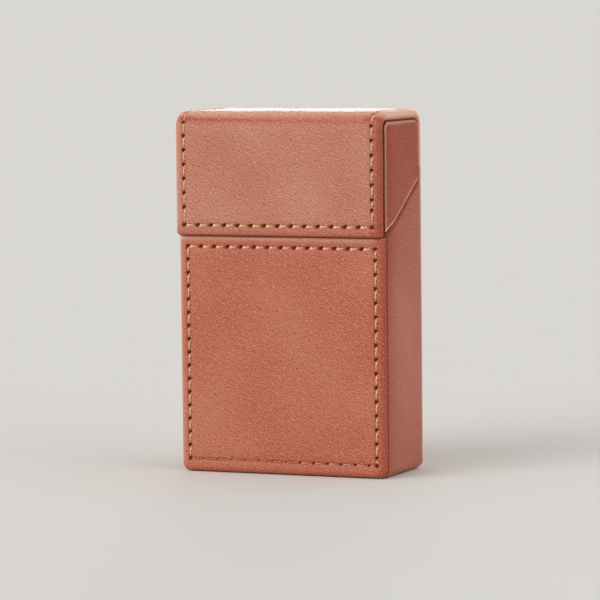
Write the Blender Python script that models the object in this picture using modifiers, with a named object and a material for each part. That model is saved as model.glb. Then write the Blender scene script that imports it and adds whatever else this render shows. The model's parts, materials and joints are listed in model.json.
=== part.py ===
"""Flip-top cigarette case: leather-covered boards, an inner collar and a lid on a living hinge.

Frame: metres, +X to the right seen from the front, the front faces -Y, +Z up, origin on the ground
under the middle of the case. The hinge axis runs along X, in the outer face of the back.
"""
import math

import bmesh
import bpy
from mathutils import Matrix, Vector

# Driving sizes of the closed case
WIDTH = 0.060
DEPTH = 0.030
HEIGHT = 0.098
FLAP_HEIGHT = 0.0335            # the lid's front flap, from its lower edge to the top
LID_BACK_HEIGHT = 0.0175        # the lid's back, from the fold to the top
FRONT_STEP = 0.0020             # the lid's flap stands proud of the body's front
FOOT_LIFT = 0.0002              # the base leather stands below the turned edges

# Thicknesses of the materials
LEATHER = 0.0008
BOARD = 0.0012
FRONT_BOARD = 0.0015
SIDE_BOARD = 0.0008
LINING = 0.0003
CARD = 0.0005
PAD = 0.0004

# Clearances
GLUE = 0.0001                   # between faces that are glued together
SEAM = 0.0003                   # between pieces that butt against each other
OVERRUN = 0.001                 # how far a cutter runs past what it cuts

# Rounded edges
BEND_RADIUS = 0.0048            # the strip's outer bends at front-top and back-top
EDGE_RADIUS = 0.0007            # turned leather edges
FOOT_RADIUS = 0.0020            # the body's lower corners, seen from the front
COLLAR_RADIUS = 0.0010
BEND_STEPS = 7
EDGE_STEPS = 3

# The slanted joint between the lid's ears and the body's sides
EAR_TIP_RISE = 0.0011           # ear tip above the flap's lower edge
KNEE_Y_SHARE = 0.29             # where the slope changes, on the way from tip to hinge
KNEE_Z_SHARE = 0.17
KNEE_RADIUS = 0.0080
KNEE_STEPS = 4
EAR_GAP = 0.0004                # between ear and side, measured along Z

# Inside
COLLAR_RISE = 0.0045            # collar's top above the hinge
FOLD_LENGTH = 0.0030            # length of the hinge leather along the strip

# Stitching
COLUMN_MARGIN = 0.0026          # thread columns in from the leather's side edges
ROW_MARGIN = 0.0028             # thread rows in from the leather's end edges
STITCH_FOOT_Z = 0.0036          # the bottom rows above the ground
THREAD_RADIUS = 0.00025         # its top lies level with the leather's face
GROOVE_CLEARANCE = 0.00015
CORNER_TURN = 0.0006            # radius of the thread line's corners
TURN_STEPS = 3

# Magnetic closure
MAGNET_RADIUS = 0.0040
MAGNET_INSET = 0.0100           # from the inner board's end to each magnet's middle
MAGNET_RISE = 0.0080            # magnets above the flap's lower edge
PLATE_RADIUS = 0.0045
PLATE = 0.0004
ROUND_STEPS = 24

# Making
WELD = 0.000001                 # merge distance for a curve's loose caps

# Worked out from the sizes above
FLAP_EDGE_Z = HEIGHT - FLAP_HEIGHT
HINGE_Z = HEIGHT - LID_BACK_HEIGHT
STRIP = LEATHER + GLUE + BOARD + GLUE + LINING
PANEL = LEATHER + GLUE + FRONT_BOARD
HALF_WIDTH = WIDTH / 2
FRONT_Y = -DEPTH / 2
BACK_Y = DEPTH / 2
PANEL_Y = FRONT_Y + FRONT_STEP
PANEL_BACK_Y = PANEL_Y + PANEL
STRIP_INNER_FRONT_Y = FRONT_Y + STRIP
STRIP_INNER_BACK_Y = BACK_Y - STRIP
STRIP_INNER_TOP_Z = HEIGHT - STRIP
SIDE_X = HALF_WIDTH - LEATHER   # inner face of the side leather
BOARD_X = SIDE_X - GLUE
BAY_SIDE_X = BOARD_X - SIDE_BOARD
COLLAR_X = BAY_SIDE_X - SEAM
SIDE_FRONT_Y = PANEL_BACK_Y + SEAM
SIDE_BACK_Y = STRIP_INNER_BACK_Y - SEAM
PANEL_TOP_Z = FLAP_EDGE_Z - SEAM
BOARD_FOOT_Z = FOOT_LIFT + LEATHER + GLUE
BASE_BOARD_Z = LEATHER + GLUE
BASE_TOP_Z = BASE_BOARD_Z + BOARD
COLLAR_TOP_Z = HINGE_Z + COLLAR_RISE
MAGNET_X = COLLAR_X - MAGNET_INSET
MAGNET_Z = FLAP_EDGE_Z + MAGNET_RISE
BODY_FOLD_Z = HINGE_Z - FOLD_LENGTH / 2 - SEAM
LID_FOLD_Z = HINGE_Z + FOLD_LENGTH / 2 + SEAM

# Colours (linear), roughness and metallic value
LEATHER_TAN = ((0.47, 0.18, 0.11), 0.55, 0.0)
LEATHER_SIDE = ((0.44, 0.16, 0.10), 0.55, 0.0)
THREAD_PEACH = ((0.78, 0.36, 0.20), 0.60, 0.0)
BOARD_GREY = ((0.24, 0.21, 0.18), 0.85, 0.0)
LINING_DARK = ((0.030, 0.022, 0.018), 0.80, 0.0)
CARD_DARK = ((0.040, 0.030, 0.025), 0.70, 0.0)
STEEL = ((0.55, 0.55, 0.56), 0.30, 1.0)


def remove_all():
    """Empty the file."""
    for item in list(bpy.data.objects):
        bpy.data.objects.remove(item, do_unlink=True)


def new_collection(name):
    """Return a collection linked to the scene."""
    group = bpy.data.collections.new(name)
    bpy.context.scene.collection.children.link(group)
    return group


def finish(item, look):
    """Give the object its own material."""
    colour, roughness, metallic = look
    material = bpy.data.materials.new(item.name)
    material.use_nodes = True
    shader = material.node_tree.nodes["Principled BSDF"]
    shader.inputs["Base Color"].default_value = (*colour, 1.0)
    shader.inputs["Roughness"].default_value = roughness
    shader.inputs["Metallic"].default_value = metallic
    material.diffuse_color = (*colour, 1.0)
    item.data.materials.clear()
    item.data.materials.append(material)
    return item


def new_object(name, mesh, group, centre):
    """Link a mesh as an object at its place."""
    item = bpy.data.objects.new(name, mesh)
    item.location = centre
    group.objects.link(item)
    return item


def box(name, low, high, group):
    """A block between two corners, placed by its centre."""
    low, high = Vector(low), Vector(high)
    size = high - low
    mesh = bpy.data.meshes.new(name)
    work = bmesh.new()
    bmesh.ops.create_cube(work, size=1.0, matrix=Matrix.Diagonal((*size, 1.0)))
    work.to_mesh(mesh)
    work.free()
    return new_object(name, mesh, group, (low + high) / 2)


def disc(name, radius, front_y, back_y, x, z, group):
    """A round plate that faces the front."""
    mesh = bpy.data.meshes.new(name)
    work = bmesh.new()
    bmesh.ops.create_cone(
        work, cap_ends=True, segments=ROUND_STEPS, radius1=radius, radius2=radius,
        depth=back_y - front_y, matrix=Matrix.Rotation(math.pi / 2, 4, "X"))
    work.to_mesh(mesh)
    work.free()
    item = new_object(name, mesh, group, (x, (front_y + back_y) / 2, z))
    mesh.shade_smooth()
    mesh.set_sharp_from_angle(angle=math.radians(40))
    return item


def welded_mesh(curve_object, group):
    """Turn a curve object into a closed mesh object of the same name and place."""
    name = curve_object.name
    place = curve_object.matrix_world.copy()
    graph = bpy.context.evaluated_depsgraph_get()
    mesh = bpy.data.meshes.new_from_object(curve_object.evaluated_get(graph))
    work = bmesh.new()
    work.from_mesh(mesh)
    bmesh.ops.remove_doubles(work, verts=work.verts, dist=WELD)
    bmesh.ops.recalc_face_normals(work, faces=work.faces)
    work.to_mesh(mesh)
    work.free()
    bpy.data.objects.remove(curve_object, do_unlink=True)
    item = bpy.data.objects.new(name, mesh)
    item.matrix_world = place
    group.objects.link(item)
    return item


def flat_curve(name, outline, thickness):
    """A filled 2D curve of the outline, extruded to the thickness about its plane."""
    curve = bpy.data.curves.new(name, "CURVE")
    curve.dimensions = "2D"
    curve.fill_mode = "BOTH"
    curve.extrude = thickness / 2
    line = curve.splines.new("POLY")
    line.points.add(len(outline) - 1)
    line.use_cyclic_u = True
    for point, (a, b) in zip(line.points, outline):
        point.co = (a, b, 0.0, 1.0)
    return curve


def side_prism(name, outline, x_low, x_high, group):
    """Extrude a (y, z) outline along X between two places."""
    curve = flat_curve(name, outline, x_high - x_low)
    item = bpy.data.objects.new(name, curve)
    # local x, y and z become world y, z and x
    turn = Matrix(((0, 0, 1), (1, 0, 0), (0, 1, 0))).to_4x4()
    item.matrix_world = Matrix.Translation(((x_low + x_high) / 2, 0, 0)) @ turn
    group.objects.link(item)
    bpy.context.view_layer.update()
    return welded_mesh(item, group)


def plan_prism(name, outline, z_low, z_high, group):
    """Extrude an (x, y) outline along Z between two heights."""
    curve = flat_curve(name, outline, z_high - z_low)
    item = bpy.data.objects.new(name, curve)
    item.location = (0, 0, (z_low + z_high) / 2)
    group.objects.link(item)
    bpy.context.view_layer.update()
    return welded_mesh(item, group)


def rounded(item, radius):
    """Round every sharp edge."""
    bevel = item.modifiers.new("rounded", "BEVEL")
    bevel.width = radius
    bevel.segments = EDGE_STEPS
    bevel.limit_method = "ANGLE"
    bevel.angle_limit = math.radians(50)
    bevel.use_clamp_overlap = False
    return item


def rounded_feet(item, radius):
    """Round the item's outer lower edges that run along Y, at its foot."""
    bpy.context.view_layer.update()
    work = bmesh.new()
    work.from_mesh(item.data)
    place = {vertex: item.matrix_world @ vertex.co for vertex in work.verts}
    foot = min(point.z for point in place.values())
    reach = max(abs(point.x) for point in place.values())
    edges = []
    for edge in work.edges:
        ends = [place[vertex] for vertex in edge.verts]
        at_foot = all(abs(point.z - foot) < WELD for point in ends)
        outside = all(abs(abs(point.x) - reach) < WELD for point in ends)
        if at_foot and outside and ends[0].x * ends[1].x > 0:
            edges.append(edge)
    bmesh.ops.bevel(work, geom=edges, offset=radius, offset_type="OFFSET", segments=EDGE_STEPS,
                    profile=0.5, affect="EDGES")
    work.to_mesh(item.data)
    work.free()
    return item


def cut(item, cutter):
    """Take the cutter's shape out of the item."""
    hole = item.modifiers.new("cut", "BOOLEAN")
    hole.operation = "DIFFERENCE"
    hole.object = cutter
    hole.solver = "EXACT"
    cutter.hide_render = True
    cutter.display_type = "WIRE"
    return item


def arc(centre, radius, start, end, steps):
    """Points of an arc, angles in degrees, both ends included."""
    found = []
    for i in range(steps + 1):
        angle = math.radians(start + (end - start) * i / steps)
        found.append((centre[0] + radius * math.cos(angle), centre[1] + radius * math.sin(angle)))
    return found


def strip_line(depth, front_end_z, back_end_z):
    """The lid strip's (y, z) line at a depth below its outer face, from the flap over the top."""
    radius = BEND_RADIUS - depth
    bend_z = HEIGHT - BEND_RADIUS
    front = arc((FRONT_Y + BEND_RADIUS, bend_z), radius, 180, 90, BEND_STEPS)
    back = arc((BACK_Y - BEND_RADIUS, bend_z), radius, 90, 0, BEND_STEPS)
    return [(FRONT_Y + depth, front_end_z), *front, *back, (BACK_Y - depth, back_end_z)]


def strip_band(name, outer, inner, half_width, front_end_z, back_end_z, group):
    """A layer of the lid's strip between two depths."""
    outline = strip_line(outer, front_end_z, back_end_z)
    outline += reversed(strip_line(inner, front_end_z, back_end_z))
    return side_prism(name, outline, -half_width, half_width, group)


def ear_edge(lift, front_y, back_y):
    """The slanted edge of the ears as (y, z) points from front to back, raised by lift."""
    tip = Vector((STRIP_INNER_FRONT_Y, FLAP_EDGE_Z + EAR_TIP_RISE))
    heel = Vector((BACK_Y, HINGE_Z))
    knee = tip + (heel - tip) * Vector((KNEE_Y_SHARE, KNEE_Z_SHARE))
    before = (knee - tip).normalized()
    after = (heel - knee).normalized()
    reach = KNEE_RADIUS * math.tan(before.angle(after) / 2)
    # the knee is an arc that touches both straight runs
    centre = knee - before * reach + Vector((-before.y, before.x)) * KNEE_RADIUS
    start = math.degrees(math.atan2(before.y, before.x)) - 90
    end = math.degrees(math.atan2(after.y, after.x)) - 90
    bend = arc(centre, KNEE_RADIUS, start, end, KNEE_STEPS)
    first = (front_y, knee.y + (front_y - knee.x) * before.y / before.x)
    last = (back_y, knee.y + (back_y - knee.x) * after.y / after.x)
    return [(y, z + lift) for y, z in [first, *bend, last]]


def across_slope(thickness):
    """How far a layer of this thickness on the slanted edge reaches along Z, on its steep run."""
    run = (BACK_Y - STRIP_INNER_FRONT_Y) * (1 - KNEE_Y_SHARE)
    rise = (HINGE_Z - FLAP_EDGE_Z - EAR_TIP_RISE) * (1 - KNEE_Z_SHARE)
    return thickness * math.hypot(run, rise) / run


def ear_outline(lift, inset, top_z):
    """An ear's (y, z) outline: slanted below, with the strip's inner bends at the top corners."""
    front_y = STRIP_INNER_FRONT_Y + inset
    back_y = STRIP_INNER_BACK_Y - inset
    radius = BEND_RADIUS - STRIP - inset
    back = arc((back_y - radius, top_z - radius), radius, 0, 90, EDGE_STEPS)
    front = arc((front_y + radius, top_z - radius), radius, 90, 180, EDGE_STEPS)
    return [*ear_edge(lift, front_y, back_y), *back, *front]


def side_outline(drop, foot_z, front_y, back_y):
    """A body side's (y, z) outline below the slanted joint."""
    return [(front_y, foot_z), (back_y, foot_z), *reversed(ear_edge(-drop, front_y, back_y))]


def tube(name, points, radius, closed, group):
    """A round tube along the points, as a closed mesh."""
    curve = bpy.data.curves.new(name, "CURVE")
    curve.dimensions = "3D"
    curve.bevel_depth = radius
    curve.bevel_resolution = 1
    curve.use_fill_caps = True
    line = curve.splines.new("POLY")
    line.points.add(len(points) - 1)
    line.use_cyclic_u = closed
    for point, place in zip(line.points, points):
        point.co = (*place, 1.0)
    item = bpy.data.objects.new(name, curve)
    group.objects.link(item)
    bpy.context.view_layer.update()
    return welded_mesh(item, group)


def turned_corner(x, z, side_x, side_z):
    """(x, z) points of a thread line's rounded corner; the sides point to the line's middle."""
    centre = (x + side_x * CORNER_TURN, z + side_z * CORNER_TURN)
    found = []
    for i in range(TURN_STEPS + 1):
        angle = math.radians(90 * i / TURN_STEPS)
        found.append((centre[0] - side_x * CORNER_TURN * math.cos(angle),
                      centre[1] - side_z * CORNER_TURN * math.sin(angle)))
    return found


def panel_thread_line():
    """The closed thread line of the body's front panel."""
    low, high = STITCH_FOOT_Z, PANEL_TOP_Z - ROW_MARGIN
    x = HALF_WIDTH - COLUMN_MARGIN
    corners = [
        *turned_corner(-x, low, 1, 1),
        *reversed(turned_corner(x, low, -1, 1)),
        *turned_corner(x, high, -1, -1),
        *reversed(turned_corner(-x, high, 1, -1)),
    ]
    return [(px, PANEL_Y + THREAD_RADIUS, pz) for px, pz in corners]


def lid_thread_line(end_z):
    """The lid's thread line: up the back, over the top, round the flap, over and down again."""
    x = HALF_WIDTH - COLUMN_MARGIN
    row_z = FLAP_EDGE_Z + ROW_MARGIN
    rail = strip_line(THREAD_RADIUS, row_z, end_z)[1:]
    y = FRONT_Y + THREAD_RADIUS
    left = turned_corner(-x, row_z, 1, 1)
    right = turned_corner(x, row_z, -1, 1)
    return [
        *[(-x, py, pz) for py, pz in reversed(rail)],
        *[(px, y, pz) for px, pz in left],
        *[(px, y, pz) for px, pz in reversed(right)],
        *[(x, py, pz) for py, pz in rail],
    ]


def back_thread_line(end_z):
    """The body back's thread line: down one edge, along the foot and up the other."""
    x = HALF_WIDTH - COLUMN_MARGIN
    y = BACK_Y - THREAD_RADIUS
    left = turned_corner(-x, STITCH_FOOT_Z, 1, 1)
    right = turned_corner(x, STITCH_FOOT_Z, -1, 1)
    line = [(-x, end_z), *left, *reversed(right), (x, end_z)]
    return [(px, y, pz) for px, pz in line]


def base_pieces(group):
    """The leather that the case stands on, its board and the pad on the floor of the bay."""
    inner_x = COLLAR_X - CARD - SEAM
    finish(box("base_cover", (-COLLAR_X, SIDE_FRONT_Y, 0),
               (COLLAR_X, SIDE_BACK_Y, LEATHER), group), LEATHER_SIDE)
    finish(box("base_board", (-COLLAR_X, SIDE_FRONT_Y, BASE_BOARD_Z),
               (COLLAR_X, SIDE_BACK_Y, BASE_TOP_Z), group), BOARD_GREY)
    finish(box("floor_pad", (-inner_x, SIDE_FRONT_Y + CARD + SEAM, BASE_TOP_Z + GLUE),
               (inner_x, SIDE_BACK_Y, BASE_TOP_Z + GLUE + PAD), group), LINING_DARK)


def front_pieces(group, cutters):
    """The stitched front panel: leather turned back round a board, and its thread."""
    cover = box("front_cover", (-HALF_WIDTH, PANEL_Y, FOOT_LIFT),
                (HALF_WIDTH, PANEL_BACK_Y, PANEL_TOP_Z), group)
    rounded(rounded_feet(cover, FOOT_RADIUS), EDGE_RADIUS)
    cut(cover, box("front_hollow", (-SIDE_X, PANEL_Y + LEATHER, FOOT_LIFT + LEATHER),
                   (SIDE_X, PANEL_BACK_Y + OVERRUN, PANEL_TOP_Z - LEATHER), cutters))
    line = panel_thread_line()
    cut(cover, tube("front_groove", line, THREAD_RADIUS + GROOVE_CLEARANCE, True, cutters))
    finish(cover, LEATHER_TAN)
    finish(tube("front_thread", line, THREAD_RADIUS, True, group), THREAD_PEACH)
    finish(box("front_board", (-BOARD_X, PANEL_Y + LEATHER + GLUE, BOARD_FOOT_Z),
               (BOARD_X, PANEL_BACK_Y, PANEL_TOP_Z - LEATHER - GLUE), group), BOARD_GREY)


def side_pieces(group, cutters):
    """The body's two sides: leather turned over the slanted edge and the foot of a board."""
    for side, name in ((-1, "left"), (1, "right")):
        low, high = sorted((side * BAY_SIDE_X, side * HALF_WIDTH))
        skin = side_outline(EAR_GAP, FOOT_LIFT, SIDE_FRONT_Y, SIDE_BACK_Y)
        cover = side_prism(f"{name}_cover", skin, low, high, group)
        rounded_feet(cover, FOOT_RADIUS)
        hollow = side_outline(EAR_GAP + across_slope(LEATHER), FOOT_LIFT + LEATHER,
                              SIDE_FRONT_Y - OVERRUN, SIDE_BACK_Y + OVERRUN)
        low, high = sorted((side * (BAY_SIDE_X - OVERRUN), side * SIDE_X))
        cut(cover, side_prism(f"{name}_hollow", hollow, low, high, cutters))
        finish(cover, LEATHER_SIDE)
        core = side_outline(EAR_GAP + across_slope(LEATHER + GLUE), BOARD_FOOT_Z,
                            SIDE_FRONT_Y, SIDE_BACK_Y)
        low, high = sorted((side * BAY_SIDE_X, side * BOARD_X))
        finish(side_prism(f"{name}_board", core, low, high, group), BOARD_GREY)


def back_pieces(group, cutters):
    """The strip's lower length on the body's back: leather, board, lining and thread."""
    cover = box("back_cover", (-HALF_WIDTH, STRIP_INNER_BACK_Y, FOOT_LIFT),
                (HALF_WIDTH, BACK_Y, BODY_FOLD_Z), group)
    rounded(rounded_feet(cover, FOOT_RADIUS), EDGE_RADIUS)
    cut(cover, box("back_hollow", (-SIDE_X, STRIP_INNER_BACK_Y - OVERRUN, FOOT_LIFT + LEATHER),
                   (SIDE_X, BACK_Y - LEATHER, BODY_FOLD_Z + OVERRUN), cutters))
    groove = back_thread_line(BODY_FOLD_Z + OVERRUN)
    cut(cover, tube("back_groove", groove, THREAD_RADIUS + GROOVE_CLEARANCE, False, cutters))
    finish(cover, LEATHER_TAN)
    thread = back_thread_line(BODY_FOLD_Z - EDGE_RADIUS)
    finish(tube("back_thread", thread, THREAD_RADIUS, False, group), THREAD_PEACH)
    board_y = STRIP_INNER_BACK_Y + LINING + GLUE
    finish(box("back_board", (-BOARD_X, board_y, BOARD_FOOT_Z),
               (BOARD_X, board_y + BOARD, BODY_FOLD_Z), group), BOARD_GREY)
    finish(box("back_lining", (-BOARD_X, STRIP_INNER_BACK_Y, BOARD_FOOT_Z),
               (BOARD_X, STRIP_INNER_BACK_Y + LINING, BODY_FOLD_Z), group), LINING_DARK)


def hinge_piece(group):
    """The bare fold of the strip, between the boards of body and lid."""
    fold = box("hinge_leather", (-HALF_WIDTH, BACK_Y - LEATHER, BODY_FOLD_Z + SEAM),
               (HALF_WIDTH, BACK_Y, LID_FOLD_Z - SEAM), group)
    finish(fold, LEATHER_TAN)


def collar_pieces(group):
    """The card sleeve that lines the body and stands up into the lid, with its steel plates."""
    radius = COLLAR_RADIUS
    outer = [
        (-COLLAR_X, SIDE_BACK_Y),
        *arc((-COLLAR_X + radius, SIDE_FRONT_Y + radius), radius, 180, 270, EDGE_STEPS),
        *arc((COLLAR_X - radius, SIDE_FRONT_Y + radius), radius, 270, 360, EDGE_STEPS),
        (COLLAR_X, SIDE_BACK_Y),
    ]
    inner_x = COLLAR_X - CARD
    inner = [
        (inner_x, SIDE_BACK_Y),
        *arc((COLLAR_X - radius, SIDE_FRONT_Y + radius), radius - CARD, 360, 270, EDGE_STEPS),
        *arc((-COLLAR_X + radius, SIDE_FRONT_Y + radius), radius - CARD, 270, 180, EDGE_STEPS),
        (-inner_x, SIDE_BACK_Y),
    ]
    collar = plan_prism("collar", outer + inner, BASE_TOP_Z + SEAM, COLLAR_TOP_Z, group)
    finish(collar, CARD_DARK)
    plate_y = SIDE_FRONT_Y - GLUE
    for side, name in ((-1, "left"), (1, "right")):
        finish(disc(f"strike_plate_{name}", PLATE_RADIUS, plate_y - PLATE, plate_y,
                    side * MAGNET_X, MAGNET_Z, group), STEEL)


def lid_strip_pieces(group, cutters):
    """The lid's strip, front flap to back: leather with turned edges, board, lining, thread."""
    cover = strip_band("lid_cover", 0, STRIP, HALF_WIDTH, FLAP_EDGE_Z, LID_FOLD_Z, group)
    rounded(cover, EDGE_RADIUS)
    hollow = strip_band("lid_hollow", LEATHER, STRIP + OVERRUN, SIDE_X,
                        FLAP_EDGE_Z + LEATHER, LID_FOLD_Z - OVERRUN, cutters)
    cut(cover, hollow)
    groove = lid_thread_line(LID_FOLD_Z - OVERRUN)
    cut(cover, tube("lid_groove", groove, THREAD_RADIUS + GROOVE_CLEARANCE, False, cutters))
    thread = lid_thread_line(LID_FOLD_Z + EDGE_RADIUS)
    board = LEATHER + GLUE
    lining = STRIP - LINING
    edge_z = FLAP_EDGE_Z + LEATHER + GLUE
    return [
        finish(cover, LEATHER_TAN),
        finish(tube("lid_thread", thread, THREAD_RADIUS, False, group), THREAD_PEACH),
        finish(strip_band("lid_board", board, board + BOARD, BOARD_X, edge_z, LID_FOLD_Z,
                          group), BOARD_GREY),
        finish(strip_band("lid_lining", lining, STRIP, BOARD_X, edge_z, LID_FOLD_Z,
                          group), LINING_DARK),
    ]


def lid_ear_pieces(group, cutters):
    """The lid's two ears: leather turned under the slanted edge of a board."""
    top_z = STRIP_INNER_TOP_Z - SEAM
    made = []
    for side, name in ((-1, "left"), (1, "right")):
        low, high = sorted((side * BAY_SIDE_X, side * HALF_WIDTH))
        cover = side_prism(f"ear_cover_{name}", ear_outline(0, SEAM, top_z), low, high, group)
        edge = ear_edge(across_slope(LEATHER), FRONT_Y, BACK_Y)
        hollow = [*edge, (BACK_Y, HEIGHT), (FRONT_Y, HEIGHT)]
        low, high = sorted((side * (BAY_SIDE_X - OVERRUN), side * SIDE_X))
        cut(cover, side_prism(f"ear_hollow_{name}", hollow, low, high, cutters))
        made.append(finish(cover, LEATHER_SIDE))
        low, high = sorted((side * BAY_SIDE_X, side * BOARD_X))
        core = ear_outline(across_slope(LEATHER + GLUE), SEAM, top_z)
        made.append(finish(side_prism(f"ear_board_{name}", core, low, high, group), BOARD_GREY))
    return made


def lid_closure_pieces(group, cutters):
    """The flap's inner board with a magnet in each of its two holes."""
    front_y = STRIP_INNER_FRONT_Y + GLUE
    back_y = front_y + BOARD
    board = box("lid_inner_front", (-COLLAR_X, front_y, FLAP_EDGE_Z),
                (COLLAR_X, back_y, HEIGHT - BEND_RADIUS), group)
    made = [finish(board, LINING_DARK)]
    for side, name in ((-1, "left"), (1, "right")):
        x = side * MAGNET_X
        cut(board, disc(f"magnet_hole_{name}", MAGNET_RADIUS + SEAM, front_y - OVERRUN,
                        back_y + OVERRUN, x, MAGNET_Z, cutters))
        magnet = disc(f"lid_magnet_{name}", MAGNET_RADIUS, front_y, back_y, x, MAGNET_Z, group)
        made.append(finish(magnet, STEEL))
    return made


def build():
    """Make the case."""
    remove_all()
    case = new_collection("cigarette_case")
    cutters = new_collection("cutters")
    base_pieces(case)
    front_pieces(case, cutters)
    side_pieces(case, cutters)
    back_pieces(case, cutters)
    hinge_piece(case)
    collar_pieces(case)
    lid = bpy.data.objects.new("lid_hinge", None)
    lid.location = (0, BACK_Y, HINGE_Z)
    case.objects.link(lid)
    bpy.context.view_layer.update()
    moving = [
        *lid_strip_pieces(case, cutters),
        *lid_ear_pieces(case, cutters),
        *lid_closure_pieces(case, cutters),
    ]
    for item in moving:
        item.parent = lid
        item.matrix_parent_inverse = lid.matrix_world.inverted()


build()
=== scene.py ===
"""A flip-top cigarette case in stitched leather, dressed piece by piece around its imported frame.

Metres, +Z up, the front faces -Y, and the lid's hinge runs along X in the outer face of the back.
"""
import json
import math
from collections import namedtuple

import bmesh
import bpy
import numpy as np
from mathutils import Matrix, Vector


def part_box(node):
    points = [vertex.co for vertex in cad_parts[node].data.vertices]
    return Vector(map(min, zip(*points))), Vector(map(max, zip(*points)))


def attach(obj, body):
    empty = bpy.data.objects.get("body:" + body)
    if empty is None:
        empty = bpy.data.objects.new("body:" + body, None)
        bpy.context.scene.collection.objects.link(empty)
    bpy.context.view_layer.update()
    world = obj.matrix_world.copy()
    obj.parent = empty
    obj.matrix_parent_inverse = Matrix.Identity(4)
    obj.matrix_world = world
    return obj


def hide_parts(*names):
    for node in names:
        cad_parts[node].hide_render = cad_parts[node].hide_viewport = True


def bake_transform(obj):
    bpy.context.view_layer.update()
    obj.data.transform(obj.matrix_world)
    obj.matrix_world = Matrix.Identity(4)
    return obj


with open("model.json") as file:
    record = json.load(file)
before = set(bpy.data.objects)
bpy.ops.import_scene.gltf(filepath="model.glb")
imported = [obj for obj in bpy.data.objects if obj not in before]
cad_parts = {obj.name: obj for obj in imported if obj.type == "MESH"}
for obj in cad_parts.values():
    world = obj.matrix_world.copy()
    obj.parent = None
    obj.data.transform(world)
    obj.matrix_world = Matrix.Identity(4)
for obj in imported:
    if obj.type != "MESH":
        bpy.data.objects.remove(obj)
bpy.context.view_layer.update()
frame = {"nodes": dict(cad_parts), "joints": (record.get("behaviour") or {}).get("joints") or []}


# Boards
# The stiff core of every wall is grey pressed board, cut with a knife and glued inside the leather.
# The ears' boards are papered and inked brown, because they show when the lid is open.


class Wire:
    """A socket in a material's node tree. Sums, differences and products of wires add Math nodes."""

    def __init__(self, tree, socket=None):
        self.tree = tree
        self.socket = socket

    def node(self, kind, settings=None, sockets=None, output=0):
        """Add any node: its settings are set first, then its sockets get their values or links."""
        made = self.tree.nodes.new("ShaderNode" + kind)
        for name, value in (settings or {}).items():
            setattr(made, name, value)
        for name, value in (sockets or {}).items():
            if isinstance(value, Wire):
                self.tree.links.new(value.socket, made.inputs[name])
            else:
                made.inputs[name].default_value = value
        return Wire(self.tree, made.outputs[output] if made.outputs else None)

    def math(self, operation, *values):
        return self.node("Math", {"operation": operation}, dict(enumerate(values)))

    def __add__(self, other):
        return self.math("ADD", self, other)

    def __sub__(self, other):
        return self.math("SUBTRACT", self, other)

    def __rsub__(self, other):
        return self.math("SUBTRACT", other, self)

    def __mul__(self, other):
        return self.math("MULTIPLY", self, other)

    __radd__ = __add__
    __rmul__ = __mul__

    def between(self, first, second):
        """The colour that runs from the first to the second as this wire runs from 0 to 1."""
        return self.node("Mix", {"data_type": "RGBA"}, {0: self, 6: first, 7: second}, 2)

    def eased(self, low, high):
        """0 below low and 1 above high, with a smooth step between them."""
        return self.node("MapRange", {"interpolation_type": "SMOOTHSTEP"}, {0: self, 1: low, 2: high})

    def raised(self, height):
        """The normal of a surface that stands up by the height in metres where this wire is 1."""
        return self.node("Bump", sockets={"Distance": height, "Height": self})

    def noise(self, size, detail=3.0, roughness=0.55, distortion=0.0):
        """Noise whose blotches measure about size metres, on this wire's coordinates."""
        return self.node("TexNoise", sockets={
            "Vector": self, "Scale": 1.0 / size, "Detail": detail, "Roughness": roughness,
            "Distortion": distortion})

    def swayed(self, size, reach):
        """These coordinates pushed about by up to half the reach, over blotches of the size."""
        push = self.node("TexNoise", sockets={"Vector": self, "Scale": 1.0 / size, "Detail": 0.0}, output=1)
        return self.node("VectorMath", {"operation": "MULTIPLY_ADD"}, {
            0: push, 1: (reach, reach, reach), 2: self})

    def ripples(self, period, sway, fineness):
        """Waves along the second axis, their phase pushed by sway radians of noise."""
        return self.node("TexWave", {"bands_direction": "Y"}, {
            "Vector": self, "Scale": math.pi / 10 / period, "Distortion": sway, "Detail": 1.0,
            "Detail Scale": fineness}, output=1)

    def laid(self, turn, stretch):
        """These coordinates turned in degrees about the third axis, then stretched."""
        return self.node("Mapping", {"vector_type": "TEXTURE"}, {
            "Vector": self, "Rotation": (0.0, 0.0, math.radians(turn)), "Scale": stretch})

    def attribute(self, name, output="Fac"):
        return self.node("Attribute", {"attribute_name": name}, output=output)


def tone(red, green, blue):
    """A screen colour, 0 to 255, as the linear colour that a shader takes."""
    screen = np.array([red, green, blue]) / 255.0
    linear = np.where(screen > 0.04045, ((screen + 0.055) / 1.055) ** 2.4, screen / 12.92)
    return (*linear.tolist(), 1.0)


def new_material(name, looks):
    """A material whose shader sockets are what looks() returns for a wire on Object coordinates."""
    made = bpy.data.materials.new(name)
    made.use_nodes = True
    made.node_tree.nodes.clear()
    start = Wire(made.node_tree)
    place = start.node("TexCoord", output="Object")
    shader = start.node("BsdfPrincipled", sockets=looks(place))
    start.node("OutputMaterial", sockets={"Surface": shader})
    return made


def dress(material, *nodes):
    """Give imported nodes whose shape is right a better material."""
    for node in nodes:
        for held in frame["nodes"][node].material_slots:
            held.material = material


BOARD_GREY = tone(139, 127, 114)
BOARD_FLECK = tone(92, 80, 70)
EDGE_INK = tone(112, 58, 42)
PAPER_DARK = tone(58, 40, 33)


def pressed_board(place):
    """Grey fibre with darker flecks, and the pressing's thin layers as fine streaks."""
    fibre = place.laid(20.0, (1.0, 0.35, 1.0)).noise(0.0004, 4.0)
    fleck = place.noise(0.0011, 2.0).eased(0.60, 0.72)
    return {
        "Base Color": (fleck * 0.7).between(fibre.between(BOARD_FLECK, BOARD_GREY), BOARD_FLECK),
        "Roughness": 0.85 + 0.1 * fibre,
        "Normal": fibre.raised(0.00004),
    }


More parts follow.
